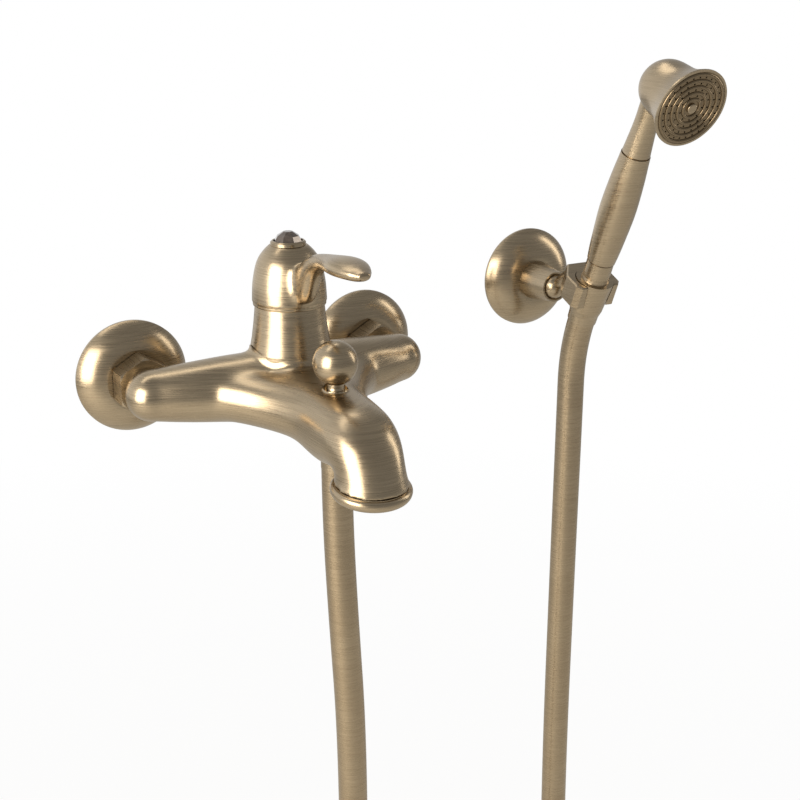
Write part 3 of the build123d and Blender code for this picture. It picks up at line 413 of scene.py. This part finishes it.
def plain_solid(name, low, high, metallic, rough):
    """A finish with a fine grain: low and high are its two near colours."""
    material, tree, shader, place = new_material(name)
    shader.inputs["Metallic"].default_value = metallic
    grains = add(
        tree,
        "ShaderNodeTexNoise",
        {"Vector": place},
        {"Scale": 1 / (GRAIN_SIZE * MM), "Detail": 4.0},
    )
    colour = add(tree, "ShaderNodeMix", {"Factor": grains.outputs["Fac"]}, data_type="RGBA")
    colour.inputs["A"].default_value = linear(low)
    colour.inputs["B"].default_value = linear(high)
    tree.links.new(colour.outputs["Result"], shader.inputs["Base Color"])
    roughness = add(
        tree,
        "ShaderNodeMapRange",
        {"Value": grains.outputs["Fac"]},
        {"To Min": rough - ROUGH_SPREAD, "To Max": rough + ROUGH_SPREAD},
    )
    tree.links.new(roughness.outputs["Result"], shader.inputs["Roughness"])
    relief = add(
        tree,
        "ShaderNodeBump",
        {"Height": grains.outputs["Fac"]},
        {"Strength": GRAIN_STRENGTH, "Distance": GRAIN_DEPTH * MM},
    )
    tree.links.new(relief.outputs["Normal"], shader.inputs["Normal"])
    return material


# Turned brass is yellow with a clear shine
brass = plain_solid("brass_turned", "#a8863f", "#c09d58", metallic=1.0, rough=0.25)
# Zinc-plated steel is a cool grey with a softer shine
steel = plain_solid("steel_zinc_plated", "#9c9ea1", "#b9bbbd", metallic=1.0, rough=0.32)
# Moulded nylon is off-white and half matt
nylon = plain_solid("nylon_moulded", "#d3cfc4", "#e2dfd6", metallic=0.0, rough=0.5)
# Moulded rubber is near black and dull
rubber = plain_solid("rubber_moulded", "#1c1c1c", "#2a2a2a", metallic=0.0, rough=0.7)
# Lapped ceramic is white and the smoothest of them all
ceramic = plain_solid("ceramic_lapped", "#e6e3da", "#f1efe8", metallic=0.0, rough=0.15)
print("inner finishes made")

# %% [markdown]
# The finial is a cut crystal on a dark foil, as on costume jewellery. The eye
# sees facets that flash light and dark, and no way through. So the foil is half
# a metal in smoky colours, and the polished crystal over it is a clear coat.

# %% Smoky crystal
crystal, crystal_tree, crystal_shader, crystal_place = new_material("crystal_foiled")
SMOKE_SIZE = 3.0
smoke = add(
    crystal_tree,
    "ShaderNodeTexNoise",
    {"Vector": crystal_place},
    {"Scale": 1 / (SMOKE_SIZE * MM), "Detail": 2.0},
)
smoke_colour = add(crystal_tree, "ShaderNodeMix", {"Factor": smoke.outputs["Fac"]}, data_type="RGBA")
smoke_colour.inputs["A"].default_value = linear("#3a322c")
smoke_colour.inputs["B"].default_value = linear("#7c7066")
crystal_tree.links.new(smoke_colour.outputs["Result"], crystal_shader.inputs["Base Color"])
crystal_shader.inputs["Metallic"].default_value = 0.55
crystal_shader.inputs["Roughness"].default_value = 0.04
crystal_shader.inputs["Coat Weight"].default_value = 1.0
crystal_shader.inputs["Coat Roughness"].default_value = 0.02
print("crystal made")

# %% [markdown]
# The record says which finish each solid has. One table turns that name into a
# material, so a solid that is added later is dressed with the rest.

# %% Finishes on the solids
finish_of_slot = {
    "bronze": bronze,
    "spray_bronze": turned_bronze,
    "brass": brass,
    "steel": steel,
    "crystal": crystal,
    "ceramic": ceramic,
    "nylon": nylon,
    "rubber": rubber,
    "hose_metal": hose_bronze,
}
slot_of_node = {part["node"]: part["material_slot"] for part in frame["record"]["subparts"]}


def dress(piece, material):
    """Gives a piece one material on all its faces."""
    if piece.material_slots:
        for place in piece.material_slots:
            place.material = material
    else:
        piece.data.materials.append(material)


for name, solid in solids.items():
    dress(solid, finish_of_slot[slot_of_node[name]])
for piece in hose_pieces:
    dress(piece, hose_bronze)
print("dressed", len(solids), "solids")

# %% [markdown]
# On the real casting the arms and the spout run into each other softly, because
# the founder's pattern was filled and sanded where they meet. The solid meets in
# sharp lines. A voxel copy of it, 0.8 mm fine, is relaxed along those lines.
# The two seats on top are plugged first and cut again afterwards, so that their
# edges stay as crisp as a lathe leaves them. Plugs and cutters are the same
# plain drums, upright on the middle plane.


# %% Plugs for the seats
COLUMN_Y = -59.6
COLUMN_R = 23.1
DIVERTER_Y = -116.8
BUSH_R = 6.6
SEAT_GAP = 0.05
DRUM_SIDES = 96


def drum(work, y, radius, low, high):
    """Adds a closed upright cylinder on the middle plane, in millimetres."""
    loops = []
    for z in (low, high):
        loop = []
        for k in range(DRUM_SIDES):
            angle = 2 * pi * k / DRUM_SIDES
            place = (radius * cos(angle), y + radius * sin(angle), z)
            loop.append(work.verts.new(Vector(place) * MM))
        loops.append(loop)
    for k in range(DRUM_SIDES):
        n = (k + 1) % DRUM_SIDES
        work.faces.new((loops[0][k], loops[0][n], loops[1][n], loops[1][k]))
    work.faces.new(loops[0][::-1])
    work.faces.new(loops[1])


# %% [markdown]
# To relax a mesh is to move each point a little towards the middle of its
# neighbours, many times over. A corner melts into a curve, as filler does under
# sandpaper. Voxels give the points their even spacing. A weight for each point
# says where it may move, and with fill_only it may only move outward, so that
# an inner corner fills up and nothing beside it gets thinner.


# %% Relaxed copies
RELAX_STEP = 0.6


def smooth_step(value, none, full):
    """From 0 at the first border to 1 at the second, easing at both."""
    share = np.clip((value - none) / (full - none), 0, 1)
    return share * share * (3 - 2 * share)


def evaluated_mesh(piece):
    """The mesh of an object with its modifiers done."""
    bpy.context.view_layer.update()
    return bpy.data.meshes.new_from_object(piece.evaluated_get(bpy.context.evaluated_depsgraph_get()))


def voxel_copy(name, mesh, voxel):
    """Mesh of even small faces over the same shape."""
    source = bpy.data.objects.new(name, mesh)
    bpy.context.collection.objects.link(source)
    remesh = source.modifiers.new("voxels", "REMESH")
    remesh.mode = "VOXEL"
    remesh.voxel_size = voxel
    copy = evaluated_mesh(source)
    bpy.data.objects.remove(source)
    return copy


def mesh_points(mesh, what="co"):
    """Places, or with what="normal" the normals, of a mesh's points."""
    flat = np.empty(len(mesh.vertices) * 3)
    mesh.vertices.foreach_get(what, flat)
    return flat.reshape(-1, 3)


def relax(mesh, weight, rounds, fill_only=False):
    """Moves points to their neighbours' middle by weight, or only outward."""
    points = mesh_points(mesh)
    start, normals = points.copy(), mesh_points(mesh, "normal")
    edges = np.empty(len(mesh.edges) * 2, dtype=int)
    mesh.edges.foreach_get("vertices", edges)
    edges = edges.reshape(-1, 2)
    both = np.concatenate([edges, edges[:, ::-1]])
    first, second = both[:, 0], both[:, 1]
    count = len(points)
    neighbours = np.bincount(first, minlength=count)[:, None]
    for _ in range(rounds):
        sums = [np.bincount(first, weights=points[second, k], minlength=count) for k in range(3)]
        middle = np.stack(sums, axis=1) / neighbours
        points += RELAX_STEP * weight[:, None] * (middle - points)
        if fill_only:
            inward = ((points - start) * normals).sum(axis=1) < 0
            points[inward] = start[inward]
    mesh.vertices.foreach_set("co", points.ravel())


def crisp_edges(mesh, limit):
    """Smooth shading, but for edges sharper than the limit in degrees."""
    work = bmesh.new()
    work.from_mesh(mesh)
    for face in work.faces:
        face.smooth = True
    for edge in work.edges:
        if edge.calc_face_angle(0) > radians(limit):
            edge.smooth = False
    work.to_mesh(mesh)
    work.free()
    mesh.materials.clear()


# %% [markdown]
# The strong pass works where the pattern maker's filler lay: between the arms
# and the spout, and right up to the column. It stays off the wall ends of the
# arms, the mouth of the spout, the diverter's seat and the bores inside. A light
# pass over all but the two seats then takes out the steps that voxels leave.

# %% Zones of the cast body
# Middle line of an arm, which sweeps back towards the wall
ARM_REACH = 77.6
ARM_SWEEP = 16.8
ARM_BEND = 1.3
# Radii that hold the bores inside
ARM_CORE_R = 11
CHANNEL_CORE_R = 9
CHANNEL_Z = -3.5
# The column's seat lies between these heights, and FAR_OFF stands for no seat
PORT_TOP = 8.0
SEAT_CREST = 30.0
FAR_OFF = 99
# Borders of the zones: nothing moves at the first value, all moves at the second
BACK_BORDER = (44, 56)
FRONT_BORDER = (-146, -132)
ARM_END_BORDER = (76, 60)
COLUMN_BORDER = (22.6, 23.4)
DIVERTER_BORDER = (9.5, 13)
SEAT_BORDER = (24, 26)
BUSH_BORDER = (7.5, 9.5)


def from_axis_at(p, y):
    """How far points are from an upright axis on the middle plane."""
    return np.hypot(p[:, 0], p[:, 1] - y)


def from_column_seat(p):
    """How far points are from the column, or far off below its seat."""
    return np.where(p[:, 2] > PORT_TOP, from_axis_at(p, COLUMN_Y), FAR_OFF)


def body_zone(p):
    """Between arms and spout, for the strong pass."""
    x, y, z = np.abs(p[:, 0]), p[:, 1], p[:, 2]
    arm_y = COLUMN_Y + ARM_SWEEP * (x / ARM_REACH) ** ARM_BEND
    off_arm = np.hypot(y - arm_y, z) > ARM_CORE_R
    off_channel = np.hypot(x, z - CHANNEL_Z) > CHANNEL_CORE_R
    return (
        (off_arm & off_channel)
        * smooth_step(-y, *BACK_BORDER)
        * smooth_step(y, *FRONT_BORDER)
        * smooth_step(x, *ARM_END_BORDER)
        * np.where(z > SEAT_CREST, 0, smooth_step(from_column_seat(p), *COLUMN_BORDER))
        * smooth_step(from_axis_at(p, DIVERTER_Y), *DIVERTER_BORDER)
    )


def away_from_seats(p):
    """All but the seats, for the light pass."""
    off_column = smooth_step(from_column_seat(p), *SEAT_BORDER)
    return off_column * smooth_step(from_axis_at(p, DIVERTER_Y), *BUSH_BORDER)


# %% [markdown]
# The copy is made from the solid with its two plugs in. The solid itself is left
# as it is, and the copy stands in for it in the picture.

# %% The cast body
BODY_VOXEL = 0.8
BODY_ROUNDS = 90
BODY_GRAIN_ROUNDS = 8
CRISP_ANGLE = 38
COLUMN_PLUG = (16.0, 34.0)
COLUMN_CUT = (16.8, 40.0)
BUSH_PLUG = (4.0, 20.0)
BUSH_CUT = (3.2, 26.0)

body_mesh = solids["mixer_body"].data.copy()
work = bmesh.new()
work.from_mesh(body_mesh)
drum(work, COLUMN_Y, COLUMN_R, *COLUMN_PLUG)
drum(work, DIVERTER_Y, BUSH_R, *BUSH_PLUG)
work.to_mesh(body_mesh)
work.free()
cast_mesh = voxel_copy("cast_body_voxels", body_mesh, BODY_VOXEL * MM)
relax(cast_mesh, body_zone(mesh_points(cast_mesh) / MM), BODY_ROUNDS)
relax(cast_mesh, away_from_seats(mesh_points(cast_mesh) / MM), BODY_GRAIN_ROUNDS)
cast_body = new_object("cast_body", cast_mesh)
print("cast body relaxed,", len(cast_mesh.vertices), "points")

# %% [markdown]
# The cutters are wider than the plugs by half a tenth of a millimetre, and reach
# above them, so that no thin skin of a plug is left on the wall of its seat.

# %% Seats cut again
cutter_mesh = bpy.data.meshes.new("seat_cutters")
work = bmesh.new()
drum(work, COLUMN_Y, COLUMN_R + SEAT_GAP, *COLUMN_CUT)
drum(work, DIVERTER_Y, BUSH_R + SEAT_GAP, *BUSH_CUT)
work.to_mesh(cutter_mesh)
work.free()
cutter = bpy.data.objects.new("seat_cutters", cutter_mesh)
bpy.context.collection.objects.link(cutter)
cut = cast_body.modifiers.new("seats", "BOOLEAN")
cut.operation = "DIFFERENCE"
cut.solver = "EXACT"
cut.object = cutter
cut_mesh = evaluated_mesh(cast_body)
cast_body.modifiers.clear()
bpy.data.objects.remove(cutter)
crisp_edges(cut_mesh, CRISP_ANGLE)
cast_body.data = cut_mesh
dress(cast_body, bronze)
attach(cast_body, "mixer")
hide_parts("mixer_body")
print("cast body faces", len(cut_mesh.polygons))

# %% [markdown]
# The lever grows out of its cap in the same soft way. Its copy has voxels of
# 0.4 mm, so the rolled lip stays. Round the root, points move outward only: the
# corner fills up and the blade keeps its thickness. A short second pass softens
# the ridges, and the blade's end is rounded.

# %% Zone of the lever's root
# Heights up the inner wall of the cap, and its radius at each
CAP_HEIGHTS = (46.8, 50.6, 52.5, 59.0, 66.0, 72.4, 77.0, 80.6)
CAP_INSIDE = (19.8, 19.8, 19.4, 18.8, 17.5, 14.8, 9.6, 9.0)
CAP_SKIN = 0.7
ROOT_MIDDLE = (0.0, -80.5, 66.0)
ROOT_BORDER = (24, 17)
LIP_BORDER = (50.4, 53)


def root_zone(p):
    """Round the root of the lever on the outside of its cap."""
    inside = np.interp(p[:, 2], CAP_HEIGHTS, CAP_INSIDE)
    outer_skin = from_axis_at(p, COLUMN_Y) > inside + CAP_SKIN
    to_root = np.linalg.norm(p - np.array(ROOT_MIDDLE), axis=1)
    return outer_skin * smooth_step(to_root, *ROOT_BORDER) * smooth_step(p[:, 2], *LIP_BORDER)


# %% [markdown]
# The blade's end is found as the foremost point of the copy. Last comes a light
# pass over the whole cap, which takes out the steps that voxels leave.

# %% The lever cap
CAP_VOXEL = 0.4
FILL_ROUNDS = 300
RIDGE_ROUNDS = 70
TIP_ROUNDS = 60
CAP_GRAIN_ROUNDS = 6
TIP_BORDER = (7, 3)

cap_mesh = voxel_copy("soft_lever_cap", solids["lever_cap"].data.copy(), CAP_VOXEL * MM)
relax(cap_mesh, root_zone(mesh_points(cap_mesh) / MM), FILL_ROUNDS, fill_only=True)
relax(cap_mesh, root_zone(mesh_points(cap_mesh) / MM), RIDGE_ROUNDS)
tip_y = mesh_points(cap_mesh)[:, 1].min() / MM
from_tip = mesh_points(cap_mesh)[:, 1] / MM - tip_y
relax(cap_mesh, smooth_step(from_tip, *TIP_BORDER), TIP_ROUNDS)
relax(cap_mesh, np.ones(len(cap_mesh.vertices)), CAP_GRAIN_ROUNDS)
crisp_edges(cap_mesh, CRISP_ANGLE)
soft_cap = new_object("soft_lever_cap", cap_mesh)
dress(soft_cap, bronze)
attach(soft_cap, "lever")
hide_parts("lever_cap")
print("lever cap faces", len(cap_mesh.polygons), "tip at", round(tip_y, 1), "mm")

# %% [markdown]
# The mixer stands in a studio, in front of a white paper roll. The white behind
# it comes from the world as the camera, gloss and glass see it, so the lamps can
# stay at a plain level, and all other light is that of a dimmer room. What gloss
# sees is brightest in one direction and dims towards the other.

# %% World
PAPER_WHITE = (1, 1, 1, 1)
ROOM_WHITE = (1, 0.99, 0.97, 1)
ROOM_LEVEL = 0.5
# What gloss sees is brightest along this axis, and dims away from it
MIRROR_AXIS = (-0.55, 0.78, -0.3)
MIRROR_RANGE = (-0.25, 0.85)
MIRROR_DARKEST = 0.3

world = bpy.data.worlds.new("studio")
bpy.context.scene.world = world
world.use_nodes = True
sky = world.node_tree
sky.nodes.clear()
sky_output = add(sky, "ShaderNodeOutputWorld")
path = add(sky, "ShaderNodeLightPath")
paper = add(sky, "ShaderNodeBackground", values={"Color": PAPER_WHITE, "Strength": 1.0})
room = add(sky, "ShaderNodeBackground", values={"Color": ROOM_WHITE, "Strength": ROOM_LEVEL})
direction = add(sky, "ShaderNodeTexCoord").outputs["Generated"]
away = add(
    sky,
    "ShaderNodeVectorMath",
    {0: direction},
    {1: MIRROR_AXIS},
    operation="DOT_PRODUCT",
)
dim = add(
    sky,
    "ShaderNodeMapRange",
    {"Value": away.outputs["Value"]},
    {"From Min": MIRROR_RANGE[0], "From Max": MIRROR_RANGE[1], "To Min": MIRROR_DARKEST, "To Max": 1.0},
)
mirrored = add(sky, "ShaderNodeBackground", {"Strength": dim.outputs["Result"]}, {"Color": PAPER_WHITE})
seen_by = room
for ray, background in (
    ("Is Glossy Ray", mirrored),
    ("Is Transmission Ray", paper),
    ("Is Camera Ray", paper),
):
    seen_by = add(
        sky,
        "ShaderNodeMixShader",
        {0: path.outputs[ray], 1: seen_by.outputs[0], 2: background.outputs[0]},
    )
sky.links.new(seen_by.outputs[0], sky_output.inputs["Surface"])
print("world made, room level", ROOM_LEVEL)

# %% [markdown]
# Round metal shows its lamps as bands of light. A wide soft box on the left
# gives the broad bright band of the picture, and a narrow one on the right a thin
# edge on the other side. One above lights the tops of the arms and the spout.


# %% Soft boxes
LAMP_COLOUR = "#fff6e8"


def soft_box(name, place, target, width, height, power):
    """An area lamp at a place, turned to a target."""
    lamp = bpy.data.lights.new(name, "AREA")
    lamp.shape = "RECTANGLE"
    lamp.size = width
    lamp.size_y = height
    lamp.energy = power
    lamp.color = linear(LAMP_COLOUR)[:3]
    holder = bpy.data.objects.new(name, lamp)
    bpy.context.collection.objects.link(holder)
    holder.location = place
    holder.rotation_euler = (Vector(target) - Vector(place)).to_track_quat("-Z", "Y").to_euler()


# All three are turned to the middle of the mixer
middle = (0.06, -0.08, 0.02)
soft_box("box_left", (-1.30, -0.52, 0.30), middle, width=1.0, height=1.2, power=27)
soft_box("box_right", (1.25, -0.25, 0.40), middle, width=0.25, height=0.9, power=2.5)
soft_box("box_top", (-0.1, 0.40, 1.25), middle, width=1.4, height=0.22, power=2.5)
print("soft boxes", len(bpy.data.lights))

# %% [markdown]
# The white ground is matt paper. A camera sees a paper roll as plain white with
# a faint soft shadow, so the floor's material mixes white light and real paper:
# mostly white for the camera and glass, a little for glossy metal, and paper
# alone for all other rays. Far out it is all white, so that no edge shows.

# %% Floor
# Half the floor's width, and how far it lies under the hose, in metres
FLOOR_HALF = 3
FLOOR_GAP = 0.01
# Shares of plain white in what the camera and what glossy metal see, and how
# far from the middle the paper loses its soft shadow
WHITE_NEAR = 0.93
WHITE_IN_GLOSS = 0.12
SHADOW_REACH = (0.4, 1.5)

floor_mesh = bpy.data.meshes.new("floor")
corners = [(FLOOR_HALF * x, FLOOR_HALF * y, 0) for x, y in ((-1, -1), (1, -1), (1, 1), (-1, 1))]
floor_mesh.from_pydata(corners, [], [(0, 1, 2, 3)])
floor = bpy.data.objects.new("floor", floor_mesh)
floor.location = (0, 0, cad_box[0][2] - FLOOR_GAP)
bpy.context.collection.objects.link(floor)
floor_material, floor_tree, floor_shader, floor_place = new_material("paper_floor")
floor_shader.inputs["Base Color"].default_value = linear("#d9d8d4")
floor_shader.inputs["Roughness"].default_value = 0.9
floor_path = add(floor_tree, "ShaderNodeLightPath")
floor_white = add(floor_tree, "ShaderNodeEmission", values={"Color": PAPER_WHITE, "Strength": 1.0})
far_off = add(floor_tree, "ShaderNodeVectorMath", {0: floor_place}, operation="LENGTH")
whiteness = add(
    floor_tree,
    "ShaderNodeMapRange",
    {"Value": far_off.outputs["Value"]},
    {"From Min": SHADOW_REACH[0], "From Max": SHADOW_REACH[1], "To Min": WHITE_NEAR, "To Max": 1.0},
)
seen = add(
    floor_tree,
    "ShaderNodeMath",
    {0: floor_path.outputs["Is Camera Ray"], 1: floor_path.outputs["Is Transmission Ray"]},
    operation="MAXIMUM",
)
share_seen = add(
    floor_tree,
    "ShaderNodeMath",
    {0: seen.outputs[0], 1: whiteness.outputs["Result"]},
    operation="MULTIPLY",
)
share_gloss = add(
    floor_tree,
    "ShaderNodeMath",
    {0: floor_path.outputs["Is Glossy Ray"]},
    {1: WHITE_IN_GLOSS},
    operation="MULTIPLY",
)
share = add(
    floor_tree,
    "ShaderNodeMath",
    {0: share_seen.outputs[0], 1: share_gloss.outputs[0]},
    operation="MAXIMUM",
)
floor_mix = add(
    floor_tree,
    "ShaderNodeMixShader",
    {0: share.outputs[0], 1: floor_shader.outputs["BSDF"], 2: floor_white.outputs[0]},
)
floor_tree.links.new(floor_mix.outputs[0], floor_tree.nodes["Material Output"].inputs["Surface"])
dress(floor, floor_material)
print("floor at", round(floor.location.z, 4), "m")

# %% [markdown]
# The Standard view shows each colour as it is written. The box round the dressed
# model and the box of the bare solids differ by half a millimetre, at the lowest
# point of the hose.

# %% View
bpy.context.scene.view_settings.view_transform = "Standard"
